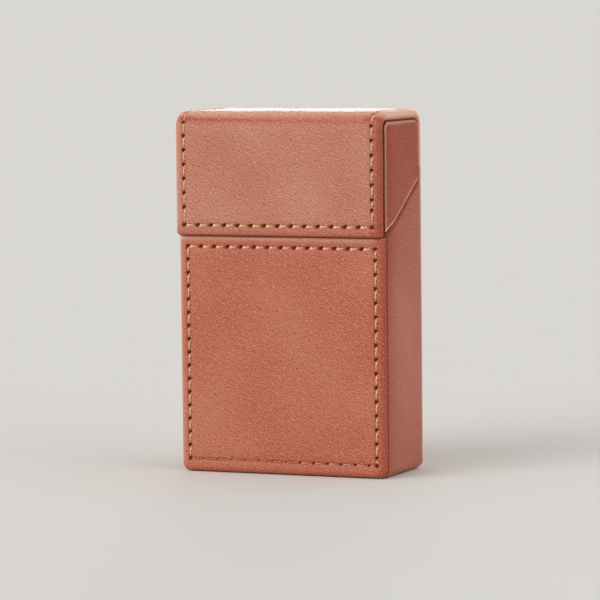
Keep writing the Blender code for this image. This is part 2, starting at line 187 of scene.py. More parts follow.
def papered_board(place):
    """Dark paper with brown ink worked into its fibres, and a fine linen press."""
    fibre = place.laid(35.0, (1.0, 0.4, 0.6)).noise(0.0005, 3.0)
    press = place.noise(0.00022, 2.0)
    return {
        "Base Color": (fibre * 0.5).between(PAPER_DARK, EDGE_INK),
        "Roughness": 0.70 + 0.15 * press,
        "Normal": press.raised(0.00002),
    }


dress(new_material("greyboard", pressed_board),
      "front_board", "left_board", "right_board", "back_board", "base_board", "lid_board")
dress(new_material("papered_board", papered_board), "ear_board_left", "ear_board_right")


# Linings
# Thin dark brown flock cloth is glued inside the back, inside the lid and on the floor of the bay.
# The flap's inner board is covered with the same cloth, with two holes left for the magnets.
CLOTH_DARK = tone(48, 33, 28)
CLOTH_PALE = tone(84, 62, 52)


def flock_cloth(place):
    """Short nap: fine speckle, brushed into broad paler and darker patches."""
    nap = place.noise(0.00018, 2.0, 0.7)
    brushed = place.laid(-30.0, (1.0, 2.5, 1.0)).noise(0.006, 3.0)
    shade = nap * 0.45 + brushed.eased(0.35, 0.7) * 0.4
    return {
        "Base Color": shade.between(CLOTH_DARK, CLOTH_PALE),
        "Roughness": 0.88 + 0.08 * nap,
        "Normal": (nap + brushed * 0.4).raised(0.00006),
        "Sheen Weight": 0.35,
        "Sheen Roughness": 0.45,
        "Specular IOR Level": 0.25,
    }


cloth = new_material("flock_cloth", flock_cloth)
dress(cloth, "back_lining", "lid_lining", "floor_pad", "lid_inner_front")


# Collar
# A sleeve of folded dark card lines the body and stands up into the lid, so that the lid shuts
# over it. The card is calendered smooth, with long fibres and slightly rubbed folds.
CARD_BROWN = tone(62, 42, 34)
CARD_RUBBED = tone(104, 76, 62)


def folded_card(place):
    """Long fibres in the card's run, with a fine tooth."""
    fibre = place.laid(0.0, (1.0, 1.0, 5.0)).noise(0.0004, 4.0)
    tooth = place.noise(0.00015, 2.0)
    rubbed = place.noise(0.004, 4.0).eased(0.58, 0.8)
    return {
        "Base Color": (fibre * 0.25 + rubbed * 0.3).between(CARD_BROWN, CARD_RUBBED),
        "Roughness": 0.55 + 0.15 * fibre,
        "Normal": (tooth * 0.6 + fibre).raised(0.000015),
    }


dress(new_material("folded_card", folded_card), "collar")


# Closure
# Two round magnets sit in the flap's inner board and pull on two thin steel plates glued to the
# collar. All four are nickel plated, finely brushed across and lightly scuffed by use.
NICKEL = tone(196, 194, 190)
NICKEL_DULL = tone(142, 138, 132)


def brushed_nickel(place):
    """Fine straight brushing along X, with a few soft scuffs."""
    brushing = place.laid(0.0, (12.0, 1.0, 1.0)).noise(0.00012, 3.0)
    scuff = place.laid(28.0, (3.0, 1.0, 1.0)).noise(0.0012, 3.0).eased(0.5, 0.75)
    return {
        "Base Color": (brushing * 0.4 + scuff * 0.5).between(NICKEL, NICKEL_DULL),
        "Metallic": 1.0,
        "Roughness": 0.24 + 0.12 * brushing + 0.18 * scuff,
        "Normal": brushing.raised(0.000006),
    }


dress(new_material("brushed_nickel", brushed_nickel),
      "lid_magnet_left", "lid_magnet_right", "strike_plate_left", "strike_plate_right")


# Front panel
# One piece of grained, coated leather drawn round a board: softly rounded edges, a puffed margin
# outside the stitch line, the thread pressed into a groove and every needle hole dished in.
Edge = namedtuple("Edge", "across deep under_across under_deep")
SKIN = 0.0008                   # thickness of the leather
SIDE_EDGE = Edge(0.0018, 0.0013, 0.0007, 0.0011)
FOOT_EDGE = Edge(0.0015, 0.0012, 0.0004, 0.0005)
HEAD_EDGE = Edge(0.0010, 0.0007, 0.0003, 0.0003)
TIGHT_CORNER = 0.0003           # an inner loop's corners are never sharper
COLUMN_MARGIN = 0.0026          # stitch columns in from the side edges
ROW_MARGIN = 0.0028             # stitch rows in from the end edges
FOOT_ROW_RISE = 0.0034          # the bottom row above the leather's lower edge
STEPS = 12                      # places along the loop for each stitch
CROWD = 0.72                    # how far they draw together at the holes
TURN_STEPS = 8                  # places round each corner
UNDER_PLACES, OVER_PLACES = 6, 11   # places round the edge's lower and upper turn
COARSE = 4                      # the plain field has every fourth place
GIVE = 0.0065                   # near a corner, the places along a side fan out over this length
BAND = 0.0044                   # the fine loops reach this far in from the edge
BAND_ROWS = 20
FIELD_STEP = 0.0009
GROOVE_DEEP = 0.00020
GROOVE_WIDE = 0.00034
DENT_DEEP = 0.00018             # the leather dips softly towards the groove
DENT_WIDE = 0.0011
PIT_DEEP = 0.00045
FLOOR_DEEP = 0.00068            # and no relief goes through the skin
SHARP_DEGREES = 48              # faces that meet at more than this keep their edge


def together(*parts):
    """Arrays and numbers brought to one shape and set side by side along a last axis."""
    return np.stack(np.broadcast_arrays(*parts), -1)


def bell(gap, width, power=2):
    """1 where the gap is nothing, falling to 0 as exp(-(gap / width) to the power)."""
    return np.exp(-(gap / width) ** power)


def crowded(t, share):
    """Steps from 0 to 1 drawn together at both ends: t less the share of sin(2 pi t) / 2 pi."""
    return t - share * np.sin(2 * np.pi * t) / (2 * np.pi)


def spread(marks):
    """Places from mark to mark, drawn together at the marks."""
    inner = marks[:-1, None] + np.diff(marks)[:, None] * crowded(np.arange(STEPS) / STEPS, CROWD)
    return np.append(inner.ravel(), marks[-1])


def slid(places, first, last):
    """Places moved so that their ends reach first and last; only the stretch near each end gives."""
    near = np.clip(1 - (places - places[0]) / GIVE, 0, 1)
    far = np.clip(1 - (places[-1] - places) / GIVE, 0, 1)
    return places + near * (first - places[0]) + far * (last - places[-1])


def corner(x, s, radius_x, radius_s, start):
    """A quarter ellipse on the flat, its ends left out, turning left from start in degrees.

    The third value grows from 0 at the side, as the sine squared, to 1 at the head or -1 at the foot.
    """
    angle = np.radians(start + 90 * np.arange(1, TURN_STEPS) / TURN_STEPS)
    return x + radius_x * np.cos(angle), s + radius_s * np.sin(angle), np.sin(angle) * abs(np.sin(angle))


class Cut:
    """The flat cut of a leather piece: half its width, its two ends and its corner radii.

    s runs along the piece. An open piece has no edge at its high end, where other leather joins it.
    The marks are where its sides want close places: the needle holes and the ends of the sides.
    """

    def __init__(self, half, ends, rounds, marks, edges):
        self.half, (self.low, self.high), (self.foot_round, self.head_round) = half, ends, rounds
        self.foot, self.left, self.right = (spread(run) for run in marks[:3])
        self.head = spread(marks[3]) if len(marks) == 4 else None
        self.edges = edges

    def gaps(self, x, s):
        """How far places are in from the left, right, foot and head edges."""
        head = self.high - s if self.head is not None else np.full_like(s, 1.0)
        return self.half + x, self.half - x, s - self.low, head

    def loops(self, side, foot, head):
        """Loops of the outline at rows of insets: x, s, and -1 at the foot, 1 at the head, 0 between."""
        side, foot, head = side[:, None], foot[:, None], head[:, None]
        foot_x, foot_s = (np.maximum(self.foot_round - inset, TIGHT_CORNER) for inset in (side, foot))
        head_x, head_s = (np.maximum(self.head_round - inset, TIGHT_CORNER) for inset in (side, head))
        edge, low, high = self.half - side, self.low + foot, self.high - head
        if self.head is None:
            head_s, high = 0 * head, self.high + 0 * head
        left = slid(self.left, low + foot_s, high - head_s)[:, ::-1]
        right = slid(self.right, low + foot_s, high - head_s)
        level = slid(self.foot, foot_x - edge, edge - foot_x)
        runs = [
            (-edge, left, 0),
            corner(foot_x - edge, low + foot_s, foot_x, foot_s, 180),
            (level, low, -1),
            corner(edge - foot_x, low + foot_s, foot_x, foot_s, 270),
            (edge, right, 0),
        ]
        if self.head is not None:
            level = slid(self.head, head_x - edge, edge - head_x)[:, ::-1]
            runs += [
                corner(edge - head_x, high - head_s, head_x, head_s, 0),
                (level, high, 1),
                corner(head_x - edge, high - head_s, head_x, head_s, 90),
            ]
        rows = [np.broadcast_arrays(*run) for run in runs]
        return [np.hstack(column) for column in zip(*rows)]

    def sides(self):
        """Where the coarse loop's four sides begin and end, each side from low x or low s up."""
        left = (len(self.left) - 1) // COARSE
        foot = (len(self.foot) - 1) // COARSE
        turn = TURN_STEPS // COARSE
        bottom_left = left + turn // 2
        bottom_right = bottom_left + foot + turn
        if self.head is None:
            top = bottom_right + left + turn // 2
            return (np.arange(bottom_left, -1, -1), np.arange(bottom_right, top + 1),
                    np.arange(bottom_left, bottom_right + 1), None)
        top_right = bottom_right + left + turn
        count = top_right + foot + turn + turn // 2
        return (np.append(np.arange(bottom_left, -1, -1), count - 1),
                np.arange(bottom_right, top_right + 1),
                np.arange(bottom_left, bottom_right + 1),
                np.arange(top_right, count)[::-1])


def edge_section(edge, thickness):
    """The section from the raw edge behind, up the wall, over the rounded edge and onto the face.

    Insets from the outline and depths below the face: a small quarter ellipse, a large one and
    then even steps to the end of the band.
    """
    small = np.linspace(0, np.pi / 2, UNDER_PLACES)
    large = np.linspace(0, np.pi / 2, OVER_PLACES)
    face = np.linspace(edge.across, BAND, BAND_ROWS + 1)[1:]
    insets = np.concatenate([
        [SKIN], edge.under_across * (1 - np.sin(small)), edge.across * (1 - np.cos(large)), face])
    depths = np.concatenate([
        [thickness], thickness - edge.under_deep * (1 - np.cos(small)),
        edge.deep * (1 - np.sin(large)), 0 * face])
    return insets, depths


def quads(grid):
    """Faces between the neighbouring rows and columns of a grid of vertex numbers."""
    faces = np.stack([grid[:-1, :-1], grid[:-1, 1:], grid[1:, 1:], grid[1:, :-1]], -1)
    return faces.reshape(-1, 4).tolist()


def steps_down(fine, coarse):
    """Faces from a fine row of vertices to a coarse one that has every fourth place."""
    return [[*fine[COARSE * i:COARSE * i + COARSE + 1], coarse[i + 1], coarse[i]]
            for i in range(len(coarse) - 1)]


def filled(left, right, bottom, top):
    """Points between four sides: the two ruled surfaces added, less the one through the corners."""
    u = np.linspace(0, 1, len(bottom))[None, :, None]
    v = np.linspace(0, 1, len(left))[:, None, None]
    ruled = (1 - u) * left[:, None] + u * right[:, None] + (1 - v) * bottom + v * top
    return ruled - ((1 - u) * ((1 - v) * bottom[0] + v * top[0])
                    + u * ((1 - v) * bottom[-1] + v * top[-1]))


def new_piece(name, points, faces, body=None, **fields):
    """A mesh of a grid or row of points, facing outwards, with named fields as its attributes.

    A field shaped like the points is a vector, and any other is spread over them as a number.
    """
    mesh = bpy.data.meshes.new(name)
    mesh.from_pydata(points.reshape(-1, 3).tolist(), [], faces)
    for field, values in fields.items():
        vector = values.shape == points.shape
        made = mesh.attributes.new(field, "FLOAT_VECTOR" if vector else "FLOAT", "POINT")
        flat = np.broadcast_to(values, points.shape if vector else points.shape[:-1]).ravel()
        made.data.foreach_set("vector" if vector else "value", flat.astype(np.float32))
    work = bmesh.new()
    work.from_mesh(mesh)
    bmesh.ops.recalc_face_normals(work, faces=work.faces)
    work.to_mesh(mesh)
    work.free()
    mesh.shade_smooth()
    mesh.set_sharp_from_angle(angle=math.radians(SHARP_DEGREES))
    piece = bpy.data.objects.new(name, mesh)
    bpy.context.scene.collection.objects.link(piece)
    if body:
        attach(piece, body)
    return piece


def line_gap(x, s, column, foot_row, head_row):
    """Distance from the stitch line: a rectangle, or a U where there is no row at the head."""
    across = np.abs(x) - column
    along = foot_row - s
    if head_row is not None:
        along = np.maximum(along, s - head_row)
    outside = np.hypot(np.maximum(across, 0), np.maximum(along, 0))
    return np.abs(outside + np.minimum(np.maximum(across, along), 0))


# How a run is sewn: the thread's radius, how far past the hole and how far aside it comes out,
# how soon that straightens, its sink by the far end and how far before the next hole that is,
# its painted shade at the near and far end, and the hole's half length, half width and lean in degrees
Hand = namedtuple("Hand", "radius start aside settle sink stop near far long wide lean")
ROW = Hand(0.00044, 0.00050, -0.00010, 1, 0.00058, 0.0006, 0.0, 0.8, 0.00066, 0.00042, 20.0)
COLUMN_RUN = Hand(0.00034, 0.00014, 0.00044, 4, 0.00014, 0.0003, 0.12, 0.5, 0.00054, 0.00047, 62.0)
FAINT_ROW = Hand(0.00024, 0.00036, -0.00005, 1, 0.00040, 0.0005, 0.4, 1.0, 0.00036, 0.00025, 20.0)
PRESSED_ROW = Hand(0.00026, 0.00010, 0.0, 1, 0.00008, 0.0001, 0.74, 0.84, 0.00016, 0.00012, 20.0)


def hole_table(runs):
    """Each hole once, as x, s, half length, half width and lean, from runs of x, s and hand."""
    tables = []
    for x, s, hand in runs:
        shape = (hand.long, hand.wide, math.radians(hand.lean))
        tables.append(together(x, s, *shape).reshape(-1, 5))
    table = np.vstack(tables)
    return table[np.unique(table[:, :2].round(6), axis=0, return_index=True)[1]]


def pit_share(x, s, holes):
    """1 in a needle hole and 0 away from it: exp(-r to the fourth) on leaning ellipses."""
    x, s = np.broadcast_arrays(x, s)
    share = np.zeros_like(x)
    for hole_x, hole_s, long, wide, lean in holes:
        near = np.hypot(x - hole_x, s - hole_s) < 3 * long
        dx, ds = x[near] - hole_x, s[near] - hole_s
        along = (dx * math.cos(lean) + ds * math.sin(lean)) / long
        across = (ds * math.cos(lean) - dx * math.sin(lean)) / wide
        share[near] = np.maximum(share[near], np.exp(-(along ** 2 + across ** 2) ** 2))
    return share


SLACK = 0.00003                 # height of the leather's slow waves over the board


def slack(x, s):
    """The leather's slight unevenness, in metres: three long sine waves that cross each other."""
    return SLACK * (np.sin(230 * x + 170 * s) + np.sin(410 * s - 190 * x + 1.3)
                    + 0.6 * np.sin(620 * x + 520 * s + 0.7))


# The painted highlight along the edges reaches this far in and this deep
PALE_WIDTH = 0.0010
PALE_DEPTH = 0.0019
WALL_DARK = 0.0012              # the walls are dyed through by this depth
SIDE_DYE = 0.4                  # away from the ends they take this share of the dye
# The painted shade along the margins reaches this far in and ends over this
SHADE_WIDTH = 0.0023
SHADE_FADE = 0.0004
INK_REACH = 0.00032             # the ends' edges are inked this far onto the face


def tinted(gaps, deep, tints):
    """Positive where an edge has a painted highlight, negative where its margin has painted shade.

    The highlight falls as exp(-gap squared - depth to the fourth); the shade ends in a tanh step.
    """
    tint = np.zeros_like(gaps[0])
    for gap, amount in zip(gaps, tints):
        pale = np.exp(-(np.maximum(gap, 0) / PALE_WIDTH) ** 2 - (deep / PALE_DEPTH) ** 4)
        darkened = 0.5 - 0.5 * np.tanh((gap - SHADE_WIDTH) / (2 * SHADE_FADE))
        tint += np.maximum(amount, 0) * pale + np.minimum(amount, 0) * darkened
    return tint


def drawn_leather(name, cut, thickness, runs, lines, place, tints, body,
                  crease=np.zeros_like, crest=np.zeros_like, dyed=np.ones_like,
                  sunned=np.zeros_like):
    """Leather drawn round a board, from its flat cut.

    Loops of the outline follow the section from the raw edge to the band's inner side, a coarse
    grid fills the field, and a plain inner face bridges the two sides. place() bends the flat.
    Four functions of s give the bends' stretch and painted shade, the crests' painted highlight,
    the walls' dye and the painted sheen; its hide coordinates run on over the edges.
    """
    sections = [edge_section(edge, thickness) for edge in cut.edges]
    band_x, band_s, end = cut.loops(*(insets for insets, depths in sections))
    side_deep, foot_deep, head_deep = (depths[:, None] for insets, depths in sections)
    band_deep = (side_deep + (foot_deep - side_deep) * np.maximum(-end, 0)
                 + (head_deep - side_deep) * np.maximum(end, 0))
    rows, around = band_x.shape
    band = np.arange(rows * around).reshape(rows, around)
    closed = cut.head is not None
    if closed:
        band = np.hstack([band, band[:, :1]])
    ring_inset, skin_inset = np.array([BAND + FIELD_STEP]), np.array([SKIN])
    ring_x, ring_s = (part[0, ::COARSE] for part in cut.loops(*[ring_inset] * 3)[:2])
    inner_x, inner_s = (part[0, ::COARSE] for part in cut.loops(*[skin_inset] * 3)[:2])
    ring = rows * around + np.arange(len(ring_x))
    left, right, bottom, top = cut.sides()
    flat = np.stack([ring_x, ring_s], -1)
    if closed:
        head = flat[top]
    else:
        head = np.stack([flat[bottom, 0] * flat[0, 0] / flat[bottom[0], 0],
                         np.full(len(bottom), cut.high)], -1)
    field = filled(flat[left], flat[right], flat[bottom], head)
    numbers = np.full(field.shape[:2], -1)
    numbers[:, 0], numbers[:, -1], numbers[0] = ring[left], ring[right], ring[bottom]
    if closed:
        numbers[-1] = ring[top]
    new = numbers < 0
    numbers[new] = ring[-1] + 1 + np.arange(new.sum())
    inner = ring[-1] + 1 + new.sum() + np.arange(len(inner_x))
    x = np.concatenate([band_x.ravel(), ring_x, field[new][:, 0], inner_x])
    s = np.concatenate([band_s.ravel(), ring_s, field[new][:, 1], inner_s])
    base = np.concatenate([band_deep.ravel(), 0 * ring_x, np.zeros(new.sum()),
                           np.full(len(inner_x), SKIN)])
    outside = np.arange(len(x)) < inner[0]
    end = np.append(end.ravel(), np.zeros(len(x) - band_x.size))
    hide = together(x + np.sign(x) * base * (1 - abs(end)), s + base * end, 0.0)
    gaps = cut.gaps(x, s)
    across = [cut.edges[i].across for i in (0, 0, 1, 2)]
    face = outside * np.prod([np.clip(gap / reach, 0, 1) for gap, reach in zip(gaps, across)], 0)
    end_gap = np.minimum(gaps[2], gaps[3])
    ends = SIDE_DYE + (1 - SIDE_DYE) * bell(end_gap, WALL_DARK)
    turned = outside * np.clip(base / WALL_DARK, 0, 1)
    wall = np.maximum(turned * ends, bell(end_gap, INK_REACH))
    gap = line_gap(x, s, *lines)
    groove = bell(gap, GROOVE_WIDE)
    pits = pit_share(x, s, hole_table(runs))
    relief = np.minimum(GROOVE_DEEP * groove + DENT_DEEP * bell(gap, DENT_WIDE)
                        + PIT_DEEP * pits + slack(x, s), FLOOR_DEEP)
    faces = quads(band)
    ring_closed = np.append(ring, ring[0]) if closed else ring
    inner_closed = np.append(inner, inner[0]) if closed else inner
    faces += steps_down(band[-1], ring_closed)
    faces += quads(numbers)
    faces += steps_down(band[0], inner_closed)
    faces += np.stack([inner[left[:-1]], inner[left[1:]], inner[right[1:]], inner[right[:-1]]],
                      -1).tolist()
    faces.append(inner[bottom].tolist())
    if closed:
        faces.append(inner[top].tolist())
    else:
        faces.append([*band[:, 0], *numbers[-1], *band[::-1, -1], inner[-1], inner[0]])
    # The attributes carry painted highlight and shade along the edges, on crests and bends, and a sheen
    return new_piece(
        name, place(x, s, base + face * relief), faces, body,
        hide=hide, sunned=sunned(s), tint=tinted(gaps, base, tints(s)) + crest(s) * (1 - turned),
        seam=groove * face, pit=pits * face, crease=crease(s), turned=turned,
        wall=outside * dyed(s) * wall)


LEAN = -29.0                    # the wrinkles' lean in degrees
WRINKLE = 0.00062               # and how far apart they are
SWAY_SIZE, SWAY = 0.0010, 0.0005
BREAK_SIZE = 0.0009
PEBBLE_SIZE = 0.00044
CLOUD_SIZE = 0.026
PATCH_SIZE = 0.0070
GRAIN_HEIGHT = 0.00003
GRAIN_DEEP = tone(118, 48, 32)
GRAIN_PALE = tone(242, 176, 150)
# Painted highlight along the edges and on the lid's bends
PAINTED_HIGHLIGHT_PALE = tone(252, 200, 178)
# Painted shade on margins turned from the light, lower edges, the sides' fronts and under the lid
PAINTED_SHADE_BROWN = tone(152, 44, 6)
# Painted shade in the stitch groove
GROOVE_SHADE_BROWN = tone(134, 54, 30)
# Painted shade round the needle holes and inside them
PIT_HALO_SHADE = tone(136, 52, 14)
PIT_SHADE_BROWN = tone(104, 30, 0)
# Partly stretched leather, partly painted shade on the bends and where the fold sinks in
CREASE_SHADE_RED = tone(156, 54, 14)
WALL_RED = tone(164, 60, 34)
# A painted broad sheen: the lid's front and top take these paler, less red tones
LID_SHEEN_ROSE = tone(191, 130, 108)
LID_SHEEN_WARM = tone(177, 104, 75)


def grained_leather(rose, warm, grain=1.0, wall_tone=WALL_RED, period=WRINKLE, lean=LEAN, shine=0.3):
    """Coated leather: fine leaning wrinkles over soft clouds, inked walls, and painted light and shade.

    The wrinkles are waves pushed about by noise, broken into short runs and flattened at the edges.
    """

    def looks(place):
        hide = place.attribute("hide", "Vector")
        swayed = hide.swayed(SWAY_SIZE, SWAY)
        ripple = swayed.laid(lean, (1.0, 1.0, 1.0)).ripples(period, 6.5, 2.1)
        pebble = hide.laid(LEAN, (1.0, 0.6, 1.0)).noise(PEBBLE_SIZE, 0.0)
        cloud = hide.noise(CLOUD_SIZE, 1.0, 0.4)
        patch = hide.noise(PATCH_SIZE, 2.0, 0.5)
        broken = hide.noise(BREAK_SIZE, 1.0).eased(0.36, 0.60)
        flat = 1 - place.attribute("turned") * 0.7
        strength = (0.25 + broken * 0.85) * flat * grain
        wrinkle = (1 - ripple) * strength * 0.45 + (1 - pebble.eased(0.34, 0.54)) * (0.12 * grain)
        rise = ripple * strength * 0.25 + pebble.eased(0.46, 0.66) * (0.10 * grain)
        drift = cloud.eased(0.28, 0.72) * 0.85 + patch * 0.15
        # Where the painted sheen is asked for, the paler tones take over
        face = place.attribute("sunned").between(
            drift.between(warm, rose), drift.between(LID_SHEEN_WARM, LID_SHEEN_ROSE))
        tint = place.attribute("tint")
        pit = place.attribute("pit").eased(0.30, 0.70)
        # Painted light in this mix: shade on the bends, highlight and shade at edges, shade in the groove
        # and the holes; the wall tone is the edges' ink, and on the ears painted shade in the gaps as well
        for share, colour in (
                (place.attribute("crease") * 0.9, CREASE_SHADE_RED),
                (tint.math("MAXIMUM", tint, 0.0), PAINTED_HIGHLIGHT_PALE),
                (tint.math("MAXIMUM", tint * -1.0, 0.0), PAINTED_SHADE_BROWN),
                (place.attribute("wall"), wall_tone),
                (wrinkle, GRAIN_DEEP),
                (rise, GRAIN_PALE),
                (place.attribute("seam") * 0.55, GROOVE_SHADE_BROWN),
                (place.attribute("pit").eased(0.02, 0.30), PIT_HALO_SHADE),
                (pit, PIT_SHADE_BROWN)):
            face = share.between(face, colour)
        height = ripple * strength + pebble * 0.6
        return {
            "Base Color": face,
            "Roughness": 0.40 + 0.10 * wrinkle + 0.08 * cloud + 0.4 * pit,
            "Normal": height.raised(GRAIN_HEIGHT),
            "Specular IOR Level": shine,
        }

    return looks


def wear(piece, material, slot, *nodes):
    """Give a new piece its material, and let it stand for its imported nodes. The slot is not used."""
    piece.data.materials.append(material)
    if nodes:
        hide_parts(*nodes)


BODY_ROSE = tone(184, 103, 75)
BODY_WARM = tone(171, 80, 48)
body_leather = new_material("body_leather", grained_leather(BODY_ROSE, BODY_WARM))
panel_low, panel_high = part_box("front_cover")
HALF = panel_high.x
COLUMN = HALF - COLUMN_MARGIN
LOWER_CORNER = 0.0021
UPPER_CORNER = 0.0004
UNDER_FLAP = 0.00018            # the upper edge is drawn up close under the flap
PANEL_TINTS = (0.45, -0.75, -0.2, 1.0)  # left, right, foot and head: painted highlight above 0, painted shade below
ROW_HOLES = 15
COLUMN_HOLES = 17
PRESSED = 8                     # stitches of the foot row that are pressed nearly flat
FOOT_CUT = 0.0023               # where runs meet a few stitches are cut short: the foot row's last,
LOW_CUT = 0.0020                # and the right column's lowest
HIGH_CUT = 0.0030               # and highest
panel_foot_row = panel_low.z + FOOT_ROW_RISE
panel_head_row = panel_high.z - ROW_MARGIN
panel_head = np.linspace(-COLUMN, COLUMN, ROW_HOLES)
panel_foot = np.append(np.linspace(-COLUMN, COLUMN - FOOT_CUT, ROW_HOLES - 1), COLUMN)
panel_left = np.linspace(panel_foot_row, panel_head_row, COLUMN_HOLES)
panel_inner = np.linspace(panel_foot_row + LOW_CUT, panel_head_row - HIGH_CUT, COLUMN_HOLES - 2)
panel_right = np.concatenate([[panel_foot_row], panel_inner, [panel_head_row]])
panel_runs = [
    (panel_head, panel_head_row, ROW),
    (-COLUMN, panel_left[::-1], COLUMN_RUN),
    (COLUMN, panel_right[::-1], COLUMN_RUN),
    (panel_foot[PRESSED:], panel_foot_row, FAINT_ROW),
    (panel_foot[:PRESSED + 1], panel_foot_row, PRESSED_ROW),
]


def on_panel(x, s, depth):
    """The flat stands upright: s is the height and depth goes back from the face."""
    return together(x, panel_low.y + depth, s)


front_leather = drawn_leather(
    "front_leather",
    Cut(HALF, (panel_low.z, panel_high.z + UNDER_FLAP), (LOWER_CORNER, UPPER_CORNER),
        (panel_foot, panel_left, panel_right, panel_head), (SIDE_EDGE, FOOT_EDGE, HEAD_EDGE)),
    panel_high.y - panel_low.y, panel_runs, (COLUMN, panel_foot_row, panel_head_row), on_panel,
    lambda s: PANEL_TINTS, "case")
wear(front_leather, body_leather, "leather_tan", "front_cover")


# Front thread
# Waxed two-ply thread in pale peach. Each stitch comes up beside its hole at full height, leans
# across the line and sinks towards the next hole, so its far end is in shade.
CORD_DEPTH = 0.00017            # the thread's middle below the face
CORD_DIVE = 0.00080             # how much deeper it is inside the holes
DIVE_NEAR = 0.00014             # the length in which it comes up from the first hole
DIVE_FAR = 0.00020              # and goes down into the next
SINK_FROM = 0.42                # a stitch sinks from this share of its length
SINK_OVER = 0.5                 # over this share
CORD_STATIONS = 18
CORD_CROWD = 0.55               # how far they draw together at the ends
CORD_SIDES = 8
PLY_SHARE = 0.34                # how far the two plies stand out of a round section
PLY_PITCH = 0.0022              # length of one full turn of the plies
PLY_SHADE = 0.40                # painted shade in the valleys between them
PLY_SHIFT = 0.01                # the filaments lie otherwise in each stitch


def smooth(share):
    """A share from 0 to 1 with a gentle start and end: 3 of its square less 2 of its cube."""
    return share * share * (3 - 2 * share)


def stitched(name, runs, place, body, *nodes):
    """Stitches along runs of holes on the flat, each run given as x, s and hand.

    t runs along a stitch and a round it: a two-lobed section that turns with t, on a line that
    starts aside, straightens as (1 - t) to a power, and dives at both ends as exp(-length).
    """
    ends, hands = [], []
    for x, s, hand in runs:
        holes = together(x, s)
        ends.append(np.stack([holes[:-1], holes[1:]], 1))
        hands += [hand] * (len(holes) - 1)
    ends = np.concatenate(ends)
    hand = Hand(*(column[:, None, None] for column in np.array(hands).T))
    t = crowded(np.linspace(0, 1, CORD_STATIONS)[None, :, None], CORD_CROWD)
    a = (np.arange(CORD_SIDES) * 2 * np.pi / CORD_SIDES)[None, None]
    start, run = ends[:, 0, :, None, None], (ends[:, 1] - ends[:, 0])[:, :, None, None]
    length = np.hypot(run[:, 0], run[:, 1])
    way_x, way_s = run[:, 0] / length, run[:, 1] / length
    visible = length - hand.start - hand.stop
    along = hand.start + visible * t
    turn = 2 * np.pi * along / PLY_PITCH
    reach = hand.radius * (1 - PLY_SHARE + PLY_SHARE * np.cos(2 * (a + turn)))
    aside = reach * np.cos(a) + hand.aside * (1 - t) ** hand.settle
    late = np.clip((t - SINK_FROM) / SINK_OVER, 0, 1)
    sink = hand.sink * smooth(late)
    dive = np.exp(-visible * t / DIVE_NEAR) + np.exp(-visible * (1 - t) / DIVE_FAR)
    x = start[:, 0] + way_x * along - way_s * aside
    s = start[:, 1] + way_s * along + way_x * aside
    depth = CORD_DEPTH + sink + CORD_DIVE * dive + reach * np.sin(a)
    numbers = np.arange(x.size).reshape(x.shape)
    rings = np.concatenate([numbers, numbers[..., :1]], -1)
    faces = np.stack([rings[:, :-1, :-1], rings[:, :-1, 1:], rings[:, 1:, 1:], rings[:, 1:, :-1]], -1)
    faces = faces.reshape(-1, 4).tolist() + numbers[:, 0].tolist() + numbers[:, -1, ::-1].tolist()
    number = np.arange(len(ends))[:, None, None]
    ply = together(a / (2 * np.pi), along + PLY_SHIFT * number, 0.0)
    valley = (0.5 - 0.5 * np.cos(2 * (a + turn))) ** 2
    shade = hand.near + (hand.far - hand.near) * late + PLY_SHADE * valley
    made = new_piece(name, place(x, s, depth), faces, body, ply=ply, shade=shade)
    wear(made, thread, "thread_peach", *nodes)
    return made


THREAD_PEACH = tone(255, 206, 174)
THREAD_DEEP = tone(176, 76, 42)


def waxed_thread(place):
    """Peach thread, painted with shade at each stitch's far end, with the lie of its fine filaments."""
    ply = place.attribute("ply", "Vector")
    filament = ply.node("Mapping", sockets={"Vector": ply, "Scale": (6.0, 1400.0, 1.0)}).noise(1.0, 2.0)
    soiled = place.noise(0.0016, 2.0).eased(0.45, 0.7)
    return {
        "Base Color": (place.attribute("shade") * 0.85 + soiled * 0.12 + filament * 0.12).between(
            THREAD_PEACH, THREAD_DEEP),
        "Roughness": 0.45 + 0.2 * filament,
        "Normal": filament.raised(0.00003),
    }


thread = new_material("waxed_thread", waxed_thread)
stitched("front_stitches", panel_runs, on_panel, "case", "front_thread")


# Back
# The long strip starts at the foot of the back: leather drawn round a board as on the front, with
# a row along the foot and a column up each side. At the fold it runs on without an edge.
back_low, back_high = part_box("back_cover")
hinge = frame["joints"][0]["pos_m"]
FOLD_PITCH = 0.0039             # the stitches on either side of the hinge
BACK_HOLES = 20                 # up each column
# Painted highlight on the left and right edges, painted shade at the foot
BACK_TINTS = (0.5, 0.8, -0.2, 0.0)
BACK_WALL = tone(178, 98, 72)
back_foot_row = back_low.z + FOOT_ROW_RISE
back_foot = np.linspace(-COLUMN, COLUMN, ROW_HOLES)
back_side = np.linspace(back_foot_row, hinge[2] - FOLD_PITCH, BACK_HOLES)
back_marks = np.append(back_side, back_high.z)
back_runs = [
    (back_foot[::-1], back_foot_row, ROW),
    (-COLUMN, back_side[::-1], COLUMN_RUN),
    (COLUMN, back_side[::-1], COLUMN_RUN),
]


def on_back(x, s, depth):
    """The flat stands upright: s is the height and depth goes forward from the back's outer face."""
    return together(x, back_high.y - depth, s)


back_leather = drawn_leather(
    "back_leather",
    Cut(HALF, (back_low.z, back_high.z), (LOWER_CORNER, TIGHT_CORNER),
        (back_foot, back_marks, back_marks), (SIDE_EDGE, FOOT_EDGE, SIDE_EDGE)),
    back_high.y - back_low.y, back_runs, (COLUMN, back_foot_row, None), on_back,
    lambda s: BACK_TINTS, "case")
back_skin = new_material("back_leather", grained_leather(BODY_ROSE, BODY_WARM, wall_tone=BACK_WALL))
wear(back_leather, back_skin, "leather_tan", "back_cover")
stitched("back_stitches", back_runs, on_back, "case", "back_thread")


